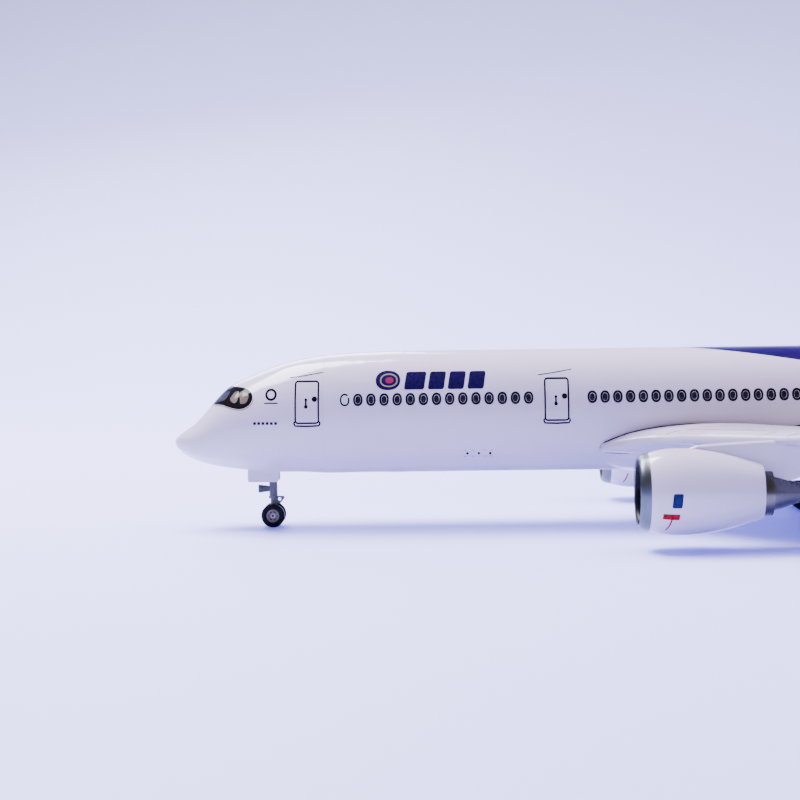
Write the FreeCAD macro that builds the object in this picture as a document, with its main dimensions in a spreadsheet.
import FreeCAD, Part
import Sketcher
import math
import os

# A twin-engined airliner as a desk model on its wheels.
# Millimetres.  X runs from nose (-X) to tail (+X), +Y is the starboard side, and Z = 0 is the
# surface that the tyres stand on.  "Left" pieces are on the port side (-Y).

Vector = FreeCAD.Vector
X_AXIS, Y_AXIS, Z_AXIS = Vector(1, 0, 0), Vector(0, 1, 0), Vector(0, 0, 1)

DIMENSIONS = [
    ("overall_length", 470.0),
    ("fuselage_width", 42.0),
    ("fuselage_top", 62.6),
    ("fuselage_bottom", 19.5),
    ("wall", 1.6),
    ("window_pitch_front", 4.565),
    ("window_pitch_middle", 4.406),
    ("window_width", 2.5),
    ("window_height", 3.4),
    ("window_level", 46.4),
    ("strip_height", 7.0),
    ("strip_thickness", 0.8),
    ("pane_inset", 0.25),
    ("engine_offset", 74.0),
    ("engine_level", 18.85),
    ("core_drop", 0.75),
    ("nacelle_radius", 13.9),
    ("intake_radius", 9.9),
    ("fan_radius", 9.7),
    ("fan_blades", 22),
    ("fan_pin_radius", 0.9),
    ("fan_pin_length", 12.8),
    ("running_gap", 0.05),
    ("main_gear_station", 238.0),
    ("main_gear_offset", 37.3),
    ("main_leg_radius", 2.0),
    ("main_piston_radius", 1.5),
    ("main_leg_top", 32.6),
    ("main_leg_low", 15.0),
    ("clevis_top", 9.4),
    ("pivot_level", 5.6),
    ("pivot_pin_radius", 0.8),
    ("beam_width", 2.6),
    ("beam_length", 17.6),
    ("bogie_wheelbase", 14.4),
    ("main_tyre_radius", 4.95),
    ("main_tyre_width", 3.6),
    ("main_hub_radius", 2.7),
    ("main_half_track", 6.1),
    ("nose_gear_station", 35.1),
    ("nose_tyre_radius", 4.2),
    ("nose_tyre_width", 2.8),
    ("nose_hub_radius", 2.3),
    ("nose_half_track", 2.95),
    ("nose_leg_radius", 1.5),
    ("nose_piston_radius", 1.1),
    ("nose_journal_radius", 0.95),
    ("nose_leg_low", 11.1),
    ("nose_leg_top", 25.0),
    ("nose_collar_low", 10.3),
    ("nose_collar_high", 11.0),
    ("nose_journal_top", 16.6),
    ("taxi_light_level", 13.7),
    ("axle_radius", 0.75),
    ("stand_bore_radius", 2.0),
    ("stand_bore_length", 12.0),
    ("stand_station", 214.0),
    ("spar_length", 66.0),
    ("spar_width", 12.0),
    ("spar_height", 3.0),
]

doc = FreeCAD.newDocument("desk_airliner")
dims = doc.addObject("Spreadsheet::Sheet", "dims")
for row, (alias, number) in enumerate(DIMENSIONS, start=1):
    dims.set("A%d" % row, alias)
    dims.set("B%d" % row, str(number))
    dims.setAlias("B%d" % row, alias)
doc.recompute()

SUBPARTS = []


def size(expression):
    """The value of an expression written in the sheet's names."""
    return float(dims.evalExpression(expression))


def along(station):
    """X of a station, which is a distance behind the nose tip."""
    return station - size("dims.overall_length") / 2


def keep(item):
    """Marks a document object as a sub-part to be written out."""
    SUBPARTS.append(item)
    return item


def solid_feature(label, shape):
    item = doc.addObject("Part::Feature", label)
    item.Label = label
    item.Shape = shape
    return keep(item)


def mirrored(source, label):
    """The starboard twin of a port-side piece."""
    item = doc.addObject("Part::Mirroring", label)
    item.Label = label
    item.Source = source
    item.Normal = Y_AXIS
    item.Base = Vector(0, 0, 0)
    return keep(item)


def primitive(kind, name, expressions, placement):
    """A Part primitive whose sizes are bound to the sheet."""
    item = doc.addObject(kind, name)
    for field, expression in expressions.items():
        item.setExpression(field, expression)
    item.Placement = placement
    return item


def at(x, y, z, axis=Z_AXIS, angle=0):
    return FreeCAD.Placement(Vector(x, y, z), FreeCAD.Rotation(axis, angle))


def lateral_rod(name, radius, length, x, y, z):
    """A cylinder along Y, centred on the point given."""
    place = at(x, y - size(length) / 2, z, X_AXIS, -90)
    return primitive("Part::Cylinder", name, {"Radius": radius, "Height": length}, place)


def upright_rod(name, radius, low, high, x, y):
    place = at(x, y, size(low))
    return primitive("Part::Cylinder", name, {"Radius": radius, "Height": "%s - (%s)" % (high, low)}, place)


def block(name, low, high):
    """A box between two opposite corners, given as plain numbers."""
    item = doc.addObject("Part::Box", name)
    item.Length, item.Width, item.Height = [b - a for a, b in zip(low, high)]
    item.Placement = at(*low)
    return item


def joined(name, items):
    item = doc.addObject("Part::MultiFuse", name)
    item.Shapes = items
    return item


def cut_by(name, base, tools):
    """Base with every tool taken away, one cut after another."""
    for index, tool in enumerate(tools):
        item = doc.addObject("Part::Cut", name if index == len(tools) - 1 else "%s_cut%d" % (name, index))
        item.Base, item.Tool = base, tool
        base = item
    return base


def labelled(item, label):
    item.Label = label
    return keep(item)


def group(label, items):
    """One sub-part made of separate identical solids."""
    item = doc.addObject("Part::Compound", label)
    item.Label = label
    item.Links = items
    return keep(item)


def body_with_sketch(name, plane_role):
    body = doc.addObject("PartDesign::Body", name)
    sketch = body.newObject("Sketcher::SketchObject", name + "_sketch")
    plane = next(item for item in body.Origin.OriginFeatures if item.Role == plane_role)
    sketch.AttachmentSupport = [(plane, "")]
    sketch.MapMode = "FlatFace"
    return body, sketch


def draw_outline(sketch, corners):
    """A closed straight-sided outline whose corners are pairs of expressions."""
    first = sketch.GeometryCount
    points = [Vector(size(across), size(up), 0) for across, up in corners]
    count = len(points)
    for index, point in enumerate(points):
        sketch.addGeometry(Part.LineSegment(point, points[(index + 1) % count]), False)
    for index, (across, up) in enumerate(corners):
        following = first + (index + 1) % count
        sketch.addConstraint(Sketcher.Constraint("Coincident", first + index, 2, following, 1))
        for kind, expression in (("DistanceX", across), ("DistanceY", up)):
            constraint = Sketcher.Constraint(kind, -1, 1, first + index, 1, size(expression))
            number = sketch.addConstraint(constraint)
            sketch.setExpression("Constraints[%d]" % number, expression)


def draw_circle(sketch, across, up, radius):
    centre = Vector(size(across), size(up), 0)
    number = sketch.addGeometry(Part.Circle(centre, Z_AXIS, size(radius)), False)
    for kind, expression in (("DistanceX", across), ("DistanceY", up)):
        constraint = sketch.addConstraint(Sketcher.Constraint(kind, -1, 1, number, 3, size(expression)))
        sketch.setExpression("Constraints[%d]" % constraint, expression)
    constraint = sketch.addConstraint(Sketcher.Constraint("Radius", number, size(radius)))
    sketch.setExpression("Constraints[%d]" % constraint, radius)


def turned_about_y(name, corners):
    """A piece turned about its own Y axis from an outline of (radius, Y) corners."""
    body, sketch = body_with_sketch(name, "XY_Plane")
    draw_outline(sketch, corners)
    turn = body.newObject("PartDesign::Revolution", name + "_turn")
    turn.Profile = sketch
    turn.ReferenceAxis = (sketch, ["V_Axis"])
    turn.Angle = 360
    doc.recompute()
    return body


def padded_side_view(name, width, corners, holes):
    """A plate or bar drawn in side view (X, Z) and padded equally both ways along Y."""
    body, sketch = body_with_sketch(name, "XZ_Plane")
    draw_outline(sketch, corners)
    for across, up, radius in holes:
        draw_circle(sketch, across, up, radius)
    pad = body.newObject("PartDesign::Pad", name + "_pad")
    pad.Profile = sketch
    pad.setExpression("Length", width)
    pad.SideType = "Symmetric"
    doc.recompute()
    return body


# ---------------------------------------------------------------- fuselage skin

BARREL_START, BARREL_END = 84.0, 318.0


def hull_stations():
    """Nose and tail sections: station, top, bottom, half width and level of greatest width."""
    top, bottom, half = size("dims.fuselage_top"), size("dims.fuselage_bottom"), size("dims.fuselage_width/2")
    middle = (top + bottom) / 2
    nose = [
        (0.05, 31.5, 30.5, 0.5, 31.0), (0.8, 32.6, 29.0, 2.0, 30.8), (3.0, 34.4, 26.9, 4.9, 30.8),
        (5.6, 36.2, 25.4, 7.4, 31.0), (9.0, 39.0, 24.0, 10.2, 31.6), (12.5, 43.0, 23.0, 12.5, 32.6),
        (16.0, 46.9, 22.3, 14.3, 33.9), (19.4, 50.1, 21.7, 15.7, 35.0), (24.0, 52.8, 21.1, 17.1, 36.2),
        (30.5, 55.6, 20.4, 18.5, 37.6), (38.7, 58.6, 19.95, 19.7, 39.0),
        (52.0, 61.2, bottom + 0.1, half - 0.4, middle - 0.8), (66.4, top - 0.3, bottom, half, middle),
        (76.0, top, bottom, half, middle), (BARREL_START, top, bottom, half, middle),
    ]
    tail = [
        (BARREL_END, top, bottom, half, middle), (326, top, bottom + 0.1, half, middle),
        (340, 62.5, 20.9, 20.8, 41.6), (360, 62.2, 24.6, 20.1, 43.2), (380, 61.7, 29.4, 18.5, 45.4),
        (400, 61.0, 34.6, 16.0, 47.7), (420, 60.2, 39.9, 12.9, 50.0), (440, 59.2, 45.2, 9.3, 52.2),
        (456, 58.0, 49.3, 6.0, 53.6), (466, 56.9, 51.8, 3.2, 54.3),
        (size("dims.overall_length"), 55.6, 53.6, 1.0, 54.6),
    ]
    return nose, tail


def half_ring(station, top, bottom, half_width, widest, inset):
    """Port half of one hull section, closed along the centre plane."""
    x = along(station)
    points = []
    for step in range(9):
        turn = math.pi * step / 8
        reach = (top - widest if turn <= math.pi / 2 else widest - bottom) - inset
        points.append(Vector(x, -(half_width - inset) * math.sin(turn), widest + reach * math.cos(turn)))
    curve = Part.BSplineCurve()
    curve.interpolate(Points=points, InitialTangent=Vector(0, -1, 0), FinalTangent=Vector(0, 1, 0))
    return Part.Wire([curve.toShape(), Part.makeLine(points[-1], points[0])])


def half_hull(inset, skip=0):
    """Port half of the hull: lofted nose, straight barrel and lofted tail; skip leaves the ends off."""
    nose, tail = hull_stations()
    nose_rings = [half_ring(*station, inset) for station in nose[skip:]]
    tail_rings = [half_ring(*station, inset) for station in tail[:len(tail) - skip]]
    barrel = Part.Face(nose_rings[-1]).extrude(Vector(BARREL_END - BARREL_START, 0, 0))
    nose_part, tail_part = [Part.makeLoft(rings, True, False) for rings in (nose_rings, tail_rings)]
    return barrel.fuse([nose_part, tail_part])


def mended(shape):
    """The same shape with its edge tolerances tidied after a cut that runs along the centre plane."""
    shape.fix(1e-5, 1e-6, 1e-4)
    return shape


def extruded_side_view(points, low, high):
    """A prism along Y from a smooth closed outline of (station, Z) points."""
    curve = Part.BSplineCurve()
    curve.interpolate(Points=[Vector(along(s), low, z) for s, z in points], PeriodicFlag=True)
    return Part.Face(Part.Wire([curve.toShape()])).extrude(Vector(0, high - low, 0))


def window_stations():
    """Stations of the cabin windows, in the groups between the doors."""
    front, middle = size("dims.window_pitch_front"), size("dims.window_pitch_middle")
    groups = [(67.1, 14, front), (148.5, 24, middle), (280.0, 19, middle)]
    return [start + pitch * number for start, count, pitch in groups for number in range(count)]


def window_prisms(shrink):
    prisms = []
    for station in window_stations():
        centre = Vector(along(station), -size("dims.fuselage_width"), size("dims.window_level"))
        oval = Part.Ellipse(centre, size("dims.window_height/2") - shrink, size("dims.window_width/2") - shrink)
        edge = oval.toShape()
        edge.rotate(centre, Z_AXIS, 90)
        edge.rotate(centre, X_AXIS, 90)
        prisms.append(Part.Face(Part.Wire([edge])).extrude(Vector(0, size("dims.fuselage_width"), 0)))
    return prisms


INSIDE_SKIP = 4
wall = size("dims.wall")
outer_half = half_hull(0)
inner_half = half_hull(wall, INSIDE_SKIP)
outer_full = outer_half.fuse(outer_half.mirror(Vector(0, 0, 0), Y_AXIS))

# The cockpit glazing is one moulding that wraps round the nose and drops into both half shells.
GLAZING_OUTLINE = [
    (10.3, 46.8), (12.3, 44.7), (16.9, 44.8), (20.0, 44.4), (23.0, 43.6), (27.0, 43.8), (29.3, 45.6),
    (29.8, 48.0), (28.5, 49.8), (26.0, 50.7), (21.8, 51.0), (16.5, 51.0), (11.8, 49.6),
]
half_width = size("dims.fuselage_width/2")
glazing_tool = extruded_side_view(GLAZING_OUTLINE, -half_width, half_width)
skin_half = outer_half.cut(inner_half)
glazing = skin_half.common(glazing_tool)
glazing = glazing.fuse(glazing.mirror(Vector(0, 0, 0), Y_AXIS)).removeSplitter()

# The wing spar passes through a slot in each side of the shell.
spar_station, spar_level = 198.0, 31.2
spar_low = Vector(along(spar_station), -size("dims.spar_length/2"), spar_level)
spar = Part.makeBox(size("dims.spar_width"), size("dims.spar_length"), size("dims.spar_height"), spar_low)

# Bosses inside the shell take the two pairs of belly screws.
SCREW_STATIONS, SCREW_OFFSET = (186.0, 250.0), 8.0
screw_foot, screw_tip = 17.6, 27.0


def screw(x, y):
    head = Part.makeCone(1.8, 1.0, 1.2, Vector(x, y, screw_foot))
    shank = Part.makeCylinder(1.0, screw_tip - screw_foot - 1.2, Vector(x, y, screw_foot + 1.2))
    slot = Part.makeBox(2.4, 0.4, 0.4, Vector(x - 1.2, y - 0.2, screw_foot))
    return head.fuse(shank).removeSplitter().cut(slot)


screws = [screw(along(s), y) for s in SCREW_STATIONS for y in (-SCREW_OFFSET, SCREW_OFFSET)]
screw_clearances = [
    Part.makeCone(1.8, 1.0, 1.2, Vector(along(s), y, screw_foot)).fuse(
        Part.makeCylinder(1.0, screw_tip - screw_foot, Vector(along(s), y, screw_foot))).fuse(
        Part.makeCylinder(1.8, 3.0, Vector(along(s), y, screw_foot - 3.0)))
    for s in SCREW_STATIONS for y in (-SCREW_OFFSET, SCREW_OFFSET)]
bosses = [Part.makeCylinder(2.4, 9.0, Vector(along(s), -SCREW_OFFSET, 20.0)) for s in SCREW_STATIONS]

socket_foot = 16.9
socket_radius = size("dims.stand_bore_radius") + 1.2
socket_place = Vector(along(size("dims.stand_station")), 0, socket_foot)
socket_outside = Part.makeCylinder(socket_radius, size("dims.stand_bore_length") + 1.2, socket_place)
socket_bore = Part.makeCylinder(size("dims.stand_bore_radius"), size("dims.stand_bore_length"), socket_place)
socket_mouth = Part.makeCylinder(socket_radius, 3.0, socket_place - Vector(0, 0, 3.0))

nose_x = along(size("dims.nose_gear_station"))
nose_leg_hole = Part.makeCylinder(size("dims.nose_leg_radius"), size("dims.nose_leg_top"), Vector(nose_x, 0, 0))

shell = mended(skin_half.cut(glazing_tool))
shell = shell.fuse([boss.common(outer_half) for boss in bosses])
shell = shell.cut([spar, socket_outside, nose_leg_hole] + screw_clearances)
shell = mended(shell.cut(window_prisms(0.0)))
left_shell = solid_feature("fuselage_left_shell", shell)
right_shell = mirrored(left_shell, "fuselage_right_shell")
solid_feature("cockpit_glazing", glazing)

# Clear strips lie along the inside of the shell, with a low pip standing in every window.
strip_low = size("dims.window_level - dims.strip_height/2")
first_window, last_window = window_stations()[0], window_stations()[-1]
strip_box = Part.makeBox(last_window - first_window + 8, half_width, size("dims.strip_height"),
                         Vector(along(first_window) - 4, -half_width, strip_low))
deeper_half = half_hull(wall + size("dims.strip_thickness"), INSIDE_SKIP + 1)
pip_layer = half_hull(size("dims.pane_inset"), INSIDE_SKIP).cut(
    half_hull(wall + size("dims.strip_thickness") / 2, INSIDE_SKIP))
pips = pip_layer.common(Part.Compound(window_prisms(0.04)))
strip = inner_half.common(strip_box).cut(deeper_half).fuse(pips.Solids).removeSplitter()
left_strip = solid_feature("window_strip_left", strip)
mirrored(left_strip, "window_strip_right")

# ---------------------------------------------------------------- belly fairing

def fairing_ring(station, half, bottom):
    """A squarish ring whose sides turn in above the widest level, so the top hides in the hull."""
    x, widest, top_reach, squareness = along(station), 32.0, 6.0, 2.5
    points = []
    for step in range(24):
        turn = 2 * math.pi * step / 24
        across, up = math.cos(turn), math.sin(turn)
        power = 2 / squareness if up < 0 else 1.0
        reach = widest - bottom if up < 0 else top_reach
        y = half * math.copysign(abs(across) ** power, across)
        points.append(Vector(x, y, widest + reach * math.copysign(abs(up) ** power, up)))
    curve = Part.BSplineCurve()
    curve.interpolate(Points=points, PeriodicFlag=True)
    return Part.Wire([curve.toShape()])


FAIRING = [(150, 11, 21.5), (160, 17.5, 19.3), (172, 20.6, 18.1), (188, 21.4, 17.2), (212, 21.4, 17.1),
           (235, 21.4, 17.1), (262, 21.2, 17.7), (285, 18.5, 19.2), (300, 11, 21.5)]
fairing_outside = Part.makeLoft([fairing_ring(*ring) for ring in FAIRING], True, False)
fairing = fairing_outside.cut(outer_full).cut([socket_outside, socket_mouth, spar] + screw_clearances)
fairing = max(fairing.Solids, key=lambda piece: piece.Volume)
solid_feature("belly_fairing", fairing)
solid_feature("belly_screws", Part.Compound(screws))
solid_feature("stand_socket", socket_outside.cut(socket_bore))

# ---------------------------------------------------------------- wings, fin and tailplane

def spline_edge(points, first_tangent, last_tangent):
    curve = Part.BSplineCurve()
    curve.interpolate(Points=points, InitialTangent=first_tangent, FinalTangent=last_tangent)
    return curve.toShape()


def airfoil(le, chord, thickness, camber, drop=0.0, lean=0.0):
    """One section: le is (station, Y, Z) of its front, drop lowers its tail, lean tips it inboard."""
    station, y, z = le
    upright = Vector(0, math.sin(math.radians(lean)), math.cos(math.radians(lean)))
    steps, nose_steps = 10, 2

    def side_points(side):
        points = []
        for step in range(steps + 1):
            part = (1 - math.cos(math.pi * step / steps)) / 2
            half = 5 * thickness * (0.2969 * math.sqrt(part) - 0.126 * part - 0.3516 * part ** 2
                                    + 0.2843 * part ** 3 - 0.098 * part ** 4)
            bow = camber * 4 * part ** 0.8 * (1 - part) ** 1.2
            points.append(Vector(along(station + chord * part), y, z - drop * part)
                          + upright * (bow + side * half))
        return points

    edges = []
    for side in (1, -1):
        points = side_points(side)
        through = points[nose_steps + 1] - points[nose_steps - 1]
        edges.append(spline_edge(points[:nose_steps + 1], upright * side, through))
        edges.append(spline_edge(points[nose_steps:], through, points[-1] - points[-2]))
    edges.append(Part.makeLine(side_points(1)[-1], side_points(-1)[-1]))
    return Part.Wire(Part.__sortEdges__(edges))


ROOT_CUFF = [((152.0, -14, 28.6), 98.0, 9.4, 3.5, 1.2), ((153.7, -21, 28.6), 96.4, 9.2, 3.5, 1.2),
             ((160.9, -25, 30.3), 90.1, 8.8, 2.8, 1.8), ((168.6, -30, 31.6), 83.4, 8.2, 2.2, 2.2),
             ((175.9, -38, 32.6), 77.8, 7.6, 1.7, 2.3)]
KINK = ((203.2, -77, 34.8), 58.8, 6.0, 1.1, 1.4)
TIP = ((296.3, -210, 48.5), 18.0, 1.9, 0.3, 0.3)
WINGLET = [((302.0, -216.5, 49.9), 15.4, 1.6, 0.2, 0.2, 18.0),
           ((307.8, -221.4, 52.6), 12.8, 1.3, 0.1, 0.1, 38.0),
           ((313.8, -225.0, 56.6), 10.0, 1.0, 0.05, 0.0, 55.0),
           ((321.6, -227.8, 62.8), 5.2, 0.7, 0.0, 0.0, 68.0)]
panels = [
    Part.makeLoft([airfoil(*section) for section in ROOT_CUFF], True, False),
    Part.makeLoft([airfoil(*ROOT_CUFF[-1]), airfoil(*KINK)], True, True),
    Part.makeLoft([airfoil(*KINK), airfoil(*TIP)], True, True),
    Part.makeLoft([airfoil(*TIP)] + [airfoil(*section) for section in WINGLET], True, False),
]
wing_full = panels[0].fuse(panels[1:])
main_x = along(size("dims.main_gear_station"))
main_y = -size("dims.main_gear_offset")
leg_socket = Part.makeCylinder(
    size("dims.main_leg_radius"), size("dims.main_leg_top"), Vector(main_x, main_y, 0))
wing = wing_full.cut([outer_full, fairing_outside, spar, leg_socket])
wing = max(wing.Solids, key=lambda piece: piece.Volume)
left_wing = solid_feature("wing_left", wing)
mirrored(left_wing, "wing_right")
wing_joiner = primitive("Part::Box", "wing_joiner", {
    "Length": "dims.spar_width", "Width": "dims.spar_length", "Height": "dims.spar_height"}, at(*spar_low))
labelled(wing_joiner, "wing_joiner")


def upright_airfoil(station, z, chord, thickness):
    wire = airfoil((station, 0, 0), chord, thickness, 0.0)
    wire.rotate(Vector(0, 0, 0), X_AXIS, 90)
    wire.translate(Vector(0, 0, z))
    return wire


fin_waist, fin_tip = (394, 68, 54, 4.4), (441.5, 119.5, 21.5, 2.0)
fin_lower = Part.makeLoft([upright_airfoil(374, 58, 74, 3.2), upright_airfoil(384, 62.5, 62, 4.6),
                           upright_airfoil(*fin_waist)], True, False)
fin_upper = Part.makeLoft([upright_airfoil(*fin_waist), upright_airfoil(*fin_tip)], True, True)
fin_cap = Part.makeLoft([upright_airfoil(*fin_tip), upright_airfoil(444, 120.6, 18.5, 0.8)], True, True)
fin = fin_lower.fuse([fin_upper, fin_cap]).cut(outer_full)
solid_feature("fin", max(fin.Solids, key=lambda piece: piece.Volume))

tail_root = ((410.0, -5.0, 50.8), 45.0, 4.4, 0.0)
tail_tip = ((448.5, -65.0, 57.0), 16.5, 1.6, 0.0)
tail_end = ((451.5, -66.6, 57.2), 12.5, 0.6, 0.0)
tailplane = Part.makeLoft([airfoil(*tail_root), airfoil(*tail_tip)], True, True).fuse(
    Part.makeLoft([airfoil(*tail_tip), airfoil(*tail_end)], True, True)).cut(outer_full)
left_tailplane = solid_feature("stabiliser_left", max(tailplane.Solids, key=lambda piece: piece.Volume))
mirrored(left_tailplane, "stabiliser_right")

# ---------------------------------------------------------------- engines

engine_y, engine_z = -size("dims.engine_offset"), size("dims.engine_level")


def turned_about_engine(outline, drop=0.0):
    """Turns a (station, radius) outline about the engine's axis, or about a line lower by drop."""
    edges = []
    axis_z = engine_z - drop
    for stretch in outline:
        points = [Vector(along(s), engine_y, axis_z + r) for s, r in stretch]
        if len(points) == 2:
            edges.append(Part.makeLine(*points))
        else:
            curve = Part.BSplineCurve()
            curve.interpolate(Points=points)
            edges.append(curve.toShape())
    face = Part.Face(Part.Wire(edges))
    return face.revolve(Vector(0, engine_y, axis_z), X_AXIS, 360)


def both_engines(label, shape):
    mirrored(solid_feature(label + "_left", shape), label + "_right")


# Stations along the engine, and the radii where its parts meet.
LIP_FRONT, SEAM, FAN_FACE, STATOR, DUCT_END, REAR = 158.6, 162.0, 166.2, 173.0, 178.0, 198.0
CORE_END, PLUG_START, PLUG_END = 201.1, 192.0, 217.5
SEAM_RADIUS, LIP_RADIUS, REAR_RADIUS, REAR_BORE = 12.5, 11.0, 8.85, 8.4
big, mouth, pin_r = size("dims.nacelle_radius"), size("dims.intake_radius"), size("dims.fan_pin_radius")
drop = size("dims.core_drop")

lip_outer = [(LIP_FRONT, LIP_RADIUS), (LIP_FRONT + 0.5, 11.55), (160.2, 12.05), (SEAM, SEAM_RADIUS)]
lip_inner = [(SEAM, mouth), (160.2, 10.0), (LIP_FRONT + 0.5, 10.4), (LIP_FRONT, LIP_RADIUS)]
both_engines("intake_lip", turned_about_engine([
    lip_outer, [(SEAM, SEAM_RADIUS), (SEAM, mouth)], lip_inner]))

nacelle_outer = [(SEAM, SEAM_RADIUS), (166.5, big - 0.35), (173.5, big), (182.5, 13.0), (191.0, 11.0),
                 (REAR, REAR_RADIUS)]
duct_radius, fan_bearing, bearing_front = 11.2, 2.6, 171.0
both_engines("nacelle", turned_about_engine([
    nacelle_outer, [(REAR, REAR_RADIUS), (REAR, REAR_BORE)], [(REAR, REAR_BORE), (DUCT_END, duct_radius)],
    [(DUCT_END, duct_radius), (DUCT_END, pin_r)], [(DUCT_END, pin_r), (bearing_front, pin_r)],
    [(bearing_front, pin_r), (bearing_front, fan_bearing)],
    [(bearing_front, fan_bearing), (STATOR, fan_bearing)],
    [(STATOR, fan_bearing), (STATOR, mouth)], [(STATOR, mouth), (SEAM, mouth)],
    [(SEAM, mouth), (SEAM, SEAM_RADIUS)]]))

stem, core_lip = 3.0, 7.2
core_outer = [(DUCT_END, 7.8), (190.0, 7.6), (REAR, 7.4), (CORE_END, core_lip)]
both_engines("core_cowl", turned_about_engine([
    [(DUCT_END, stem), (DUCT_END, 7.8)], core_outer, [(CORE_END, core_lip), (CORE_END, 6.6)],
    [(CORE_END, 6.6), (PLUG_START, 6.6)], [(PLUG_START, 6.6), (PLUG_START, stem)],
    [(PLUG_START, stem), (DUCT_END, stem)]], drop))
plug_outer = [(PLUG_START + 1.0, 5.3), (197.5, 5.9), (CORE_END, 5.65), (206.0, 4.35), (210.0, 3.15),
              (214.0, 1.9), (PLUG_END, 0.4)]
both_engines("exhaust_plug", turned_about_engine([
    [(DUCT_END, 0.0), (DUCT_END, stem)], [(DUCT_END, stem), (PLUG_START, stem)],
    [(PLUG_START, stem), (PLUG_START + 1.0, 5.3)], plug_outer, [(PLUG_END, 0.4), (PLUG_END, 0.0)],
    [(PLUG_END, 0.0), (DUCT_END, 0.0)]], drop))


def fan_blade(number, count, root_radius, tip_radius):
    """A thin twisted blade: three flat sections stacked outward and lofted."""
    rings = []
    for radius, pitch, chord in ((root_radius, 22, 2.6), (tip_radius * 0.6, 42, 3.4), (tip_radius, 58, 3.6)):
        half = chord / 2
        corners = []
        for u, v in ((-half, -0.16), (half, -0.16), (half, 0.16), (-half, 0.16)):
            swing = math.radians(pitch)
            corners.append(Vector(u * math.cos(swing) - v * math.sin(swing),
                                  u * math.sin(swing) + v * math.cos(swing), radius))
        rings.append(Part.makePolygon(corners + corners[:1]))
    blade = Part.makeLoft(rings, True, True)
    blade.rotate(Vector(0, 0, 0), X_AXIS, 360.0 * number / count)
    return blade


def fan_shape(y):
    """Spinner, hub and blades in one moulding, bored to turn on its pin."""
    count, tip_radius = int(size("dims.fan_blades")), size("dims.fan_radius")
    spinner_points = [Vector(-4.6, 0, 0.25), Vector(-2.9, 0, 1.5), Vector(-0.9, 0, 2.7), Vector(1.2, 0, 3.3)]
    nose = Part.BSplineCurve()
    nose.interpolate(Points=spinner_points)
    bore = size("dims.fan_pin_radius + dims.running_gap")
    back = [Vector(1.2, 0, 3.3), Vector(3.4, 0, 3.3), Vector(3.4, 0, bore), Vector(-1.6, 0, bore),
            Vector(-1.6, 0, 0), Vector(-4.6, 0, 0), Vector(-4.6, 0, 0.25)]
    edges = [nose.toShape()] + [Part.makeLine(a, b) for a, b in zip(back, back[1:])]
    hub = Part.Face(Part.Wire(edges)).revolve(Vector(0, 0, 0), X_AXIS, 360)
    blades = [fan_blade(number, count, 3.1, tip_radius) for number in range(count)]
    fan = hub.fuse([blade.translated(Vector(1.4, 0, 0)) for blade in blades])
    fan.translate(Vector(along(FAN_FACE), y, engine_z))
    return fan


for side, y in (("left", engine_y), ("right", -engine_y)):
    solid_feature("fan_" + side, fan_shape(y))
    pin_sizes = {"Radius": "dims.fan_pin_radius", "Height": "dims.fan_pin_length"}
    pin_front = along(DUCT_END) - size("dims.fan_pin_length")
    pin = primitive("Part::Cylinder", "fan_pin_" + side, pin_sizes, at(pin_front, y, engine_z, Y_AXIS, 90))
    labelled(pin, "fan_pin_" + side)

PYLON_HALF_WIDTH, PYLON_CREST = 1.6, 33.4
pylon_outline = [(170.5, 31.0), (177.5, 33.6), (186.0, 34.2), (203.0, 35.0), (232.0, 35.4), (236.0, 33.5),
                 (222.0, 28.0), (208.0, 22.4), (201.0, 21.2), (196.0, 24.0), (180.0, 28.0)]
pylon_points = [Vector(along(s), engine_y - PYLON_HALF_WIDTH, z) for s, z in pylon_outline]
pylon_side = Part.Face(Part.makePolygon(pylon_points + pylon_points[:1]))
pylon_block = pylon_side.extrude(Vector(0, 2 * PYLON_HALF_WIDTH, 0))
crest_edges = [edge for edge in pylon_block.Edges if edge.BoundBox.YLength < 0.01
               and edge.BoundBox.ZMax > PYLON_CREST and edge.BoundBox.XMax < along(204)]
pylon_block = pylon_block.makeFillet(1.1, crest_edges)
nacelle_filled = turned_about_engine([
    nacelle_outer, [(REAR, REAR_RADIUS), (REAR, 0.0)], [(REAR, 0.0), (SEAM, 0.0)],
    [(SEAM, 0.0), (SEAM, SEAM_RADIUS)]])
core_filled = turned_about_engine([
    core_outer, [(CORE_END, core_lip), (CORE_END, 0.0)], [(CORE_END, 0.0), (DUCT_END, 0.0)],
    [(DUCT_END, 0.0), (DUCT_END, 7.8)]], drop)
plug_filled = turned_about_engine([
    plug_outer, [(PLUG_END, 0.4), (PLUG_END, 0.0)], [(PLUG_END, 0.0), (PLUG_START + 1.0, 0.0)],
    [(PLUG_START + 1.0, 0.0), (PLUG_START + 1.0, 5.3)]], drop)
pylon = pylon_block.cut([nacelle_filled, core_filled, plug_filled, wing_full])
both_engines("pylon", max(pylon.Solids, key=lambda piece: piece.Volume))


def canoe(station, y, z, length, radius):
    """A flap-track fairing: a slim body of revolution, nose-down under the trailing edge."""
    blunt = 0.12
    points = [Vector(0, 0, blunt), Vector(length * 0.12, 0, radius * 0.62), Vector(length * 0.35, 0, radius),
              Vector(length * 0.65, 0, radius * 0.8), Vector(length * 0.9, 0, radius * 0.28),
              Vector(length, 0, blunt)]
    curve = Part.BSplineCurve()
    curve.interpolate(Points=points)
    foot, heel = Vector(length, 0, 0), Vector(0, 0, 0)
    edges = [curve.toShape(), Part.makeLine(points[-1], foot), Part.makeLine(foot, heel),
             Part.makeLine(heel, points[0])]
    body = Part.Face(Part.Wire(edges)).revolve(Vector(0, 0, 0), X_AXIS, 360)
    body.rotate(Vector(0, 0, 0), Y_AXIS, 4)
    body.translate(Vector(along(station), y, z))
    return body


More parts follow.
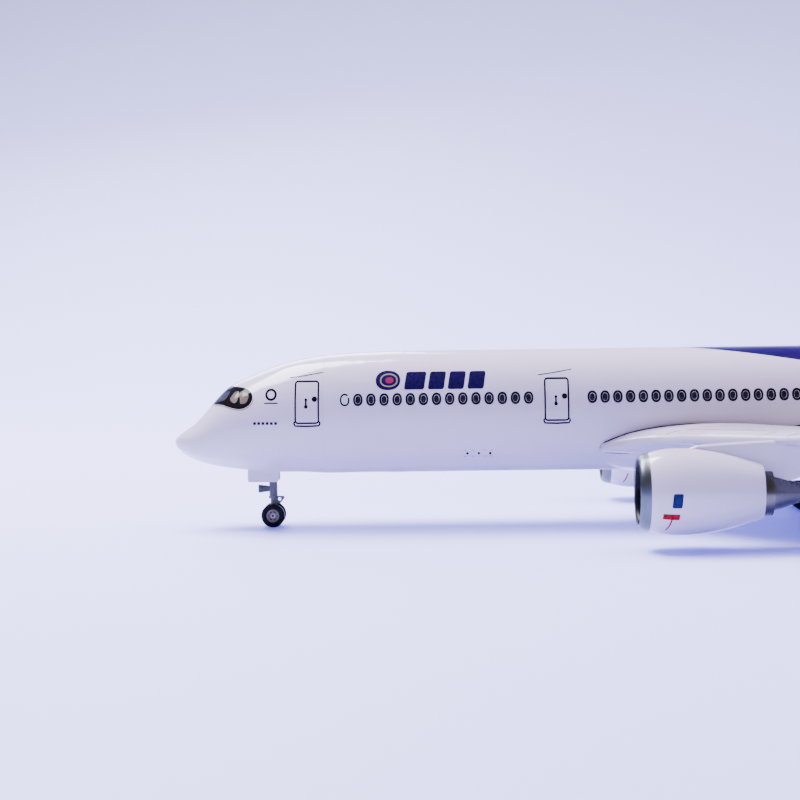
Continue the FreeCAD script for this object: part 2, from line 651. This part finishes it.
CANOES = [(226.0, -52.0, 31.6, 42.0, 2.6), (246.5, -98.0, 35.4, 34.0, 2.3), (263.0, -130.0, 38.6, 30.0, 2.0),
          (279.0, -162.0, 42.0, 26.0, 1.7)]
left_canoes = solid_feature("flap_fairings_left", Part.Compound([canoe(*place) for place in CANOES]))
mirrored(left_canoes, "flap_fairings_right")

# ---------------------------------------------------------------- wheels

def wheel_pair(prefix, kind, x, y, z):
    """Axle, two hubs and two tyres that turn together; kind is nose or main."""
    tyre_r, width = "dims.%s_tyre_radius" % kind, "dims.%s_tyre_width" % kind
    hub_r, track = "dims.%s_hub_radius" % kind, "dims.%s_half_track" % kind
    axle = lateral_rod(prefix + "_axle", "dims.axle_radius", "2*%s + 0.8*%s" % (track, width), x, y, z)
    labelled(axle, prefix + "_axle")
    hubs, tyres = [], []
    for side, sign in (("port", -1), ("starboard", 1)):
        centre = at(x, y + sign * size(track), z)
        rim, half = "%s - 0.5" % hub_r, "%s/2" % width
        hub = turned_about_y("%s_hub_%s" % (prefix, side), [
            ("dims.axle_radius", "-0.40*%s" % width), ("1.3", "-0.40*%s" % width), ("1.3", "-0.26*%s" % width),
            (rim, "-0.26*%s" % width), (rim, "-0.40*%s" % width), (hub_r, "-0.40*%s" % width),
            (hub_r, "0.40*%s" % width), (rim, "0.40*%s" % width), (rim, "0.26*%s" % width),
            ("1.3", "0.26*%s" % width), ("1.3", "0.40*%s" % width), ("dims.axle_radius", "0.40*%s" % width)])
        hub.Placement = centre
        hubs.append(hub)
        tyre = turned_about_y("%s_tyre_%s" % (prefix, side), [
            (hub_r, "-0.40*%s" % width), ("%s + 0.5" % hub_r, "-%s" % half),
            ("%s - 0.9" % tyre_r, "-%s" % half),
            (tyre_r, "-0.5*%s + 0.75" % width), (tyre_r, "0.5*%s - 0.75" % width),
            ("%s - 0.9" % tyre_r, half), ("%s + 0.5" % hub_r, half), (hub_r, "0.40*%s" % width)])
        tyre.Placement = centre
        tyres.append(tyre)
    group(prefix + "_hubs", hubs)
    group(prefix + "_tyres", tyres)


# ---------------------------------------------------------------- nose gear

nose_axle_z = size("dims.nose_tyre_radius")
AXLE_BOSS_RADIUS, AXLE_BOSS_LENGTH = "1.35", "2.4"
leg_low, collar_low, collar_high = "dims.nose_leg_low", "dims.nose_collar_low", "dims.nose_collar_high"
leg_tube = upright_rod("nose_leg_tube", "dims.nose_leg_radius", leg_low, "dims.nose_leg_top", nose_x, 0)
leg_bore = upright_rod("nose_leg_bore", "dims.nose_journal_radius + dims.running_gap", "dims.nose_leg_low - 1",
                       "dims.nose_journal_top + 0.2", nose_x, 0)
labelled(cut_by("nose_gear_leg", leg_tube, [leg_bore]), "nose_gear_leg")

piston_rod = upright_rod("nose_rod", "dims.nose_piston_radius", "dims.nose_tyre_radius", collar_low, nose_x, 0)
journal = upright_rod("nose_journal", "dims.nose_journal_radius", collar_low, "dims.nose_journal_top",
                      nose_x, 0)
collar = upright_rod("nose_collar", "dims.nose_leg_radius + 0.3", collar_low, collar_high, nose_x, 0)
axle_boss = lateral_rod("nose_axle_boss", AXLE_BOSS_RADIUS, AXLE_BOSS_LENGTH, nose_x, 0, nose_axle_z)
axle_bore = lateral_rod("nose_axle_bore", "dims.axle_radius + dims.running_gap", "6", nose_x, 0, nose_axle_z)
piston = joined("nose_piston_body", [piston_rod, journal, collar, axle_boss])
nose_piston = labelled(cut_by("nose_strut_piston", piston, [axle_bore]), "nose_strut_piston")

link_plate = padded_side_view("nose_link_plate", "1.0", [
    ("0.4", collar_high), ("3.7", collar_high), ("4.1", collar_high + " - 0.7"),
    ("2.3", collar_low + " - 2.1"), ("0.4", collar_low + " - 2.1")],
    [("2.2", collar_low + " - 0.4", "0.6")])
link_plate.Placement = at(nose_x, 0, 0)
labelled(cut_by("nose_torque_link", link_plate, [nose_piston]), "nose_torque_link")

lamp_level = size("dims.taxi_light_level")
lamp = primitive("Part::Cone", "taxi_lamp", {"Radius1": "0.85", "Radius2": "1.55", "Height": "4.9"},
                 at(nose_x - 0.4, 0, lamp_level, Y_AXIS, -90))
lamp_cut = upright_rod("taxi_lamp_cut", "dims.nose_leg_radius", leg_low, "dims.nose_leg_top", nose_x, 0)
lamp_recess = primitive("Part::Cylinder", "taxi_lamp_recess", {"Radius": "1.25", "Height": "1.0"},
                        at(nose_x - 4.9, 0, lamp_level, Y_AXIS, -90))
labelled(cut_by("taxi_light", lamp, [lamp_cut, lamp_recess]), "taxi_light")

door_low, door_front, door_rear, door_sheet = 16.4, along(26.4), along(37.3), 0.7
doors = []
for y in (-4.2, 4.2 - door_sheet):
    panel = Part.makeBox(door_rear - door_front, door_sheet, 9.0, Vector(door_front, y, door_low))
    corners = [edge for edge in panel.Edges
               if edge.BoundBox.YLength > 0.5 and edge.BoundBox.ZMax < door_low + 1]
    doors.append(panel.makeFillet(0.6, corners).cut(outer_full))
largest_pieces = [max(door.Solids, key=lambda piece: piece.Volume) for door in doors]
solid_feature("nose_gear_doors", Part.Compound(largest_pieces))
wheel_pair("nose", "nose", nose_x, 0, nose_axle_z)

# A weight fixed in the nose keeps the model on its nose wheel.
weight = primitive("Part::Box", "nose_weight", {"Length": "34", "Width": "16", "Height": "9"},
                   at(along(58.0), -8.0, 25.2))
labelled(weight, "nose_weight")

# ---------------------------------------------------------------- main gear

CLEVIS_FOOT, CLEVIS_HALF_LENGTH, CLEVIS_HALF_WIDTH, CLEVIS_SLOT_TOP, SLOT_GAP = 4.3, 2.2, 2.4, 7.8, 0.12
main_axle_z, pivot_z = size("dims.main_tyre_radius"), size("dims.pivot_level")
clevis_top, slot_half = size("dims.clevis_top"), size("dims.beam_width/2") + SLOT_GAP
DOOR_REACH, DOOR_SHEET, DOOR_FOOT, LUG_LENGTH = 3.0, 0.8, 15.5, 1.4
bogie_pins = []
for side, sign in (("left", -1), ("right", 1)):
    y = sign * size("dims.main_gear_offset")
    upper = upright_rod("leg_tube_" + side, "dims.main_leg_radius", "dims.main_leg_low", "dims.main_leg_top",
                        main_x, y)
    lower = upright_rod("leg_piston_" + side, "dims.main_piston_radius", "dims.clevis_top - 0.8",
                        "dims.main_leg_low", main_x, y)
    clevis = block("clevis_" + side, (main_x - CLEVIS_HALF_LENGTH, y - CLEVIS_HALF_WIDTH, CLEVIS_FOOT),
                   (main_x + CLEVIS_HALF_LENGTH, y + CLEVIS_HALF_WIDTH, clevis_top))
    slot = block("clevis_slot_" + side, (main_x - 3, y - slot_half, 3.0),
                 (main_x + 3, y + slot_half, CLEVIS_SLOT_TOP))
    pin_hole = lateral_rod("pin_hole_" + side, "dims.pivot_pin_radius", "6", main_x, y, pivot_z)
    leg_body = joined("leg_body_" + side, [upper, lower, clevis])
    labelled(cut_by("main_leg_" + side, leg_body, [slot, pin_hole]), "main_leg_" + side)
    bogie_pins.append(lateral_rod("bogie_pin_" + side, "dims.pivot_pin_radius", "5.4", main_x, y, pivot_z))
    bore, reach = "dims.axle_radius + dims.running_gap", "dims.bogie_wheelbase/2"
    beam = padded_side_view("bogie_beam_" + side, "dims.beam_width", [
        ("-dims.beam_length/2", "-1.0"), ("-dims.beam_length/2 + 0.7", "-1.7"),
        ("dims.beam_length/2 - 0.7", "-1.7"),
        ("dims.beam_length/2", "-1.0"), ("dims.beam_length/2", "0.2"), ("dims.beam_length/2 - 0.9", "0.75"),
        ("3.0", "1.1"), ("-3.0", "1.1"), ("-dims.beam_length/2 + 0.9", "0.75"), ("-dims.beam_length/2", "0.2")],
        [("-" + reach, "dims.main_tyre_radius - dims.pivot_level", bore),
         (reach, "dims.main_tyre_radius - dims.pivot_level", bore),
         ("0", "0", "dims.pivot_pin_radius + dims.running_gap")])
    beam.Placement = at(main_x, y, pivot_z)
    labelled(beam, "bogie_beam_" + side)
    for end, offset in (("front", -1), ("rear", 1)):
        x = main_x + offset * size("dims.bogie_wheelbase/2")
        wheel_pair("%s_%s" % (side, end), "main", x, y, main_axle_z)
    door_y, door_half = y + sign * DOOR_REACH, DOOR_SHEET / 2
    panel = Part.makeBox(13.0, DOOR_SHEET, 20.0, Vector(main_x - 7.0, door_y - door_half, DOOR_FOOT))
    corners = [edge for edge in panel.Edges
               if edge.BoundBox.YLength > 0.5 and edge.BoundBox.ZMax < DOOR_FOOT + 0.5]
    panel = panel.makeFillet(2.0, corners)
    local_wing = wing_full if sign < 0 else wing_full.mirror(Vector(0, 0, 0), Y_AXIS)
    panel = panel.cut([local_wing, Part.makeBox(14.0, 2.0, 10.0, Vector(main_x - 7.5, door_y - 1.0, 34.0))])
    lug_inner = min(door_y, door_y - sign * LUG_LENGTH)
    lug = Part.makeBox(3.0, LUG_LENGTH, 1.6, Vector(main_x - 1.5, lug_inner, 20.0))
    leg_cut = Part.makeCylinder(size("dims.main_leg_radius"), 30, Vector(main_x, y, 5))
    panel = max(panel.Solids, key=lambda piece: piece.Volume).fuse(lug).cut(leg_cut)
    solid_feature("main_door_" + side, panel)
    brace_low, brace_high = Vector(main_x, y, 18.5), Vector(main_x, sign * 19.0, 26.5)
    brace = Part.makeCylinder(0.8, brace_low.distanceToPoint(brace_high), brace_low, brace_high - brace_low)
    brace = brace.cut([leg_cut, outer_full, fairing_outside])
    solid_feature("side_brace_" + side, max(brace.Solids, key=lambda piece: piece.Volume))
group("bogie_pins", bogie_pins)

# ---------------------------------------------------------------- check and write

doc.recompute()
for item in doc.Objects:
    if "Invalid" in item.State or "Error" in item.State:
        raise RuntimeError("%s is %s" % (item.Label, item.State))
os.makedirs("parts", exist_ok=True)
faulty = [item.Label for item in SUBPARTS if item.Shape.isNull() or not item.Shape.isValid()]
if faulty:
    raise RuntimeError("no valid shape: " + ", ".join(faulty))
for item in SUBPARTS:
    item.Shape.exportStep("parts/%s.step" % item.Label)
    print("%-22s %9.1f mm3  %d solid(s)" % (item.Label, item.Shape.Volume, len(item.Shape.Solids)))
print(len(SUBPARTS), "sub-parts")
